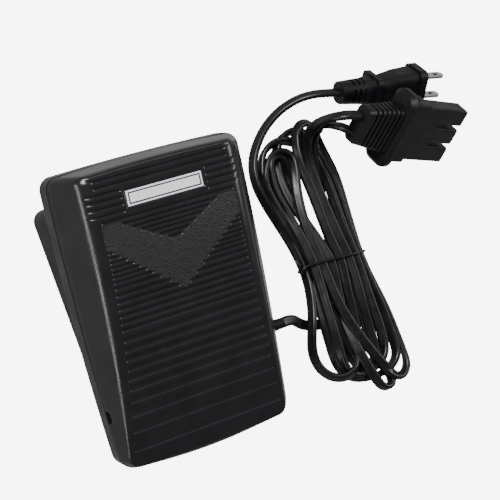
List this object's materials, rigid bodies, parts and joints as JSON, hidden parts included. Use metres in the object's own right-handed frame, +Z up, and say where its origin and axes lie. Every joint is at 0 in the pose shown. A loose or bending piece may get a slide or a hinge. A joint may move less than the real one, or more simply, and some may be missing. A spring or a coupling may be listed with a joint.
{
  "type": "sewing machine foot pedal",
  "caption": "Wedge-shaped foot pedal with a ribbed, sprung treadle on a tray base, a folded hank of flat twin cord, a mains plug and a flat machine connector.",
  "frame": {"origin": "on the floor under the middle of the pedal, cords and plugs left out", "axes": "+X to the pedal's right, +Y from its heel to its toe, +Z up"},
  "size_m": [0.2734, 0.1809, 0.0689],
  "materials": {
    "shell_black": "gloss black moulded shell with satin ribs",
    "tray_black": "semi-gloss black moulding",
    "label": "ivory plate with a thin dark border",
    "steel": "zinc-plated steel",
    "spring_steel": "spring steel",
    "rubber": "matt black rubber",
    "board": "green fibre board",
    "phenolic": "brown phenolic moulding",
    "nylon": "natural nylon",
    "brass": "plain brass",
    "aluminium": "plain extruded aluminium",
    "component_black": "moulded epoxy",
    "component_yellow": "dipped film capacitor",
    "copper": "enamelled copper winding",
    "component_tan": "lacquered carbon resistor",
    "terminal_green": "moulded terminal block",
    "wire_red": "insulated core wire",
    "cord_black": "semi-gloss black cord jacket",
    "relief_black": "moulded soft black sleeve",
    "plug_black": "gloss black moulded plug",
    "blade_metal": "nickel-plated brass blades",
    "tie_black": "plastic-coated tie wire"
  },
  "bodies": {
    "root": {"hinge_pin": "steel", "base_tray": "tray_black", "rubber_feet": "rubber", "return_spring_left": "spring_steel", "return_spring_right": "spring_steel", "travel_stops": "rubber", "circuit_board": "board", "board_screws": "steel", "slide_resistor": "phenolic", "heat_sink": "aluminium", "triac": "component_black", "film_capacitor": "component_yellow", "choke_coil": "copper", "resistors": "component_tan", "terminal_block": "terminal_green", "cord_clamp": "steel", "clamp_screws": "steel", "strain_relief": "relief_black", "inner_lead": "cord_black", "core_wires": "wire_red", "plug_body": "plug_black", "plug_blades": "blade_metal", "connector_body": "plug_black", "connector_contacts": "brass", "cord_hank": "cord_black", "cord_tie": "tie_black", "pedal_cord": "cord_black", "plug_lead": "cord_black", "loose_strand": "cord_black", "connector_lead_a": "cord_black", "connector_lead_b": "cord_black"},
    "treadle": {"treadle_cover": "shell_black", "treadle_skirt": "shell_black", "skirt_screws": "steel", "label_plate": "label", "hinge_bracket": "steel", "bracket_screws": "steel"},
    "slider": {"slider_carriage": "nylon", "contact_brush": "brass"}
  },
  "joints": [
    {"name": "treadle_hinge", "type": "hinge", "parent": "root", "child": "treadle", "pos_m": [0, -0.058, 0.014], "axis": [-1, 0, 0], "range_deg": [0, 6.5], "stiffness_Nm_per_rad": 5, "springref_deg": -5.73, "deforming": ["return_spring_left", "return_spring_right"]},
    {"name": "slider_slide", "type": "slide", "parent": "root", "child": "slider", "axis": [0, 0, -1], "range_m": [0, 0.0084]}
  ],
  "couplings": [
    {"joint": "slider_slide", "follows": "treadle_hinge", "m_per_rad": 0.073}
  ]
}
